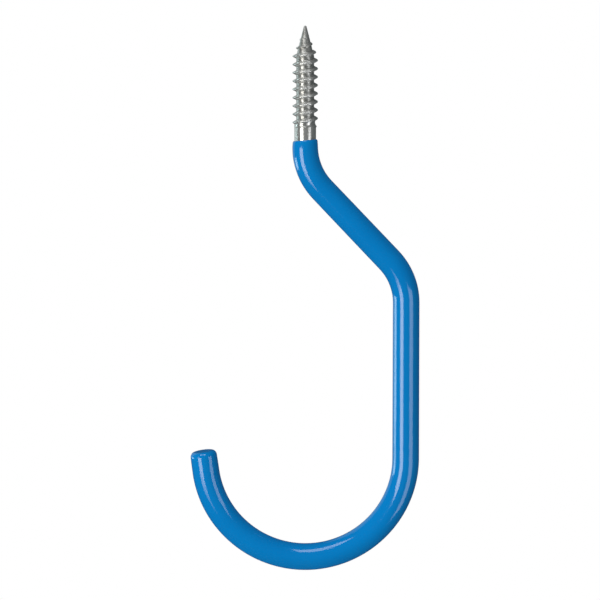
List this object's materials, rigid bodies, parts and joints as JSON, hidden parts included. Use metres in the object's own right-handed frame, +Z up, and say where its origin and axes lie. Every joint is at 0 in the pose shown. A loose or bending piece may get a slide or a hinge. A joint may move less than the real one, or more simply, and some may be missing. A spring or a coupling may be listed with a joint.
{
  "type": "bicycle storage hook",
  "caption": "Screw-in steel rod hook with a wood thread, bent out to a leg and under into a padded J-shaped cradle that holds a bicycle wheel.",
  "frame": {"origin": "on the thread's axis at the mounting surface, where the thread runs out into the plain rod", "axes": "+Z up the thread's axis into the timber; the hook hangs below in the XZ plane with its leg at +X and its open end at -X; Y is across the wheel's plane of entry"},
  "size_m": [0.1011, 0.012, 0.2414],
  "materials": {
    "zinc_steel": "bright zinc plate over rolled steel",
    "blue_vinyl": "glossy dip-moulded vinyl, slightly uneven"
  },
  "bodies": {
    "root": {"steel_rod": "zinc_steel", "vinyl_coating": "blue_vinyl"}
  },
  "joints": []
}
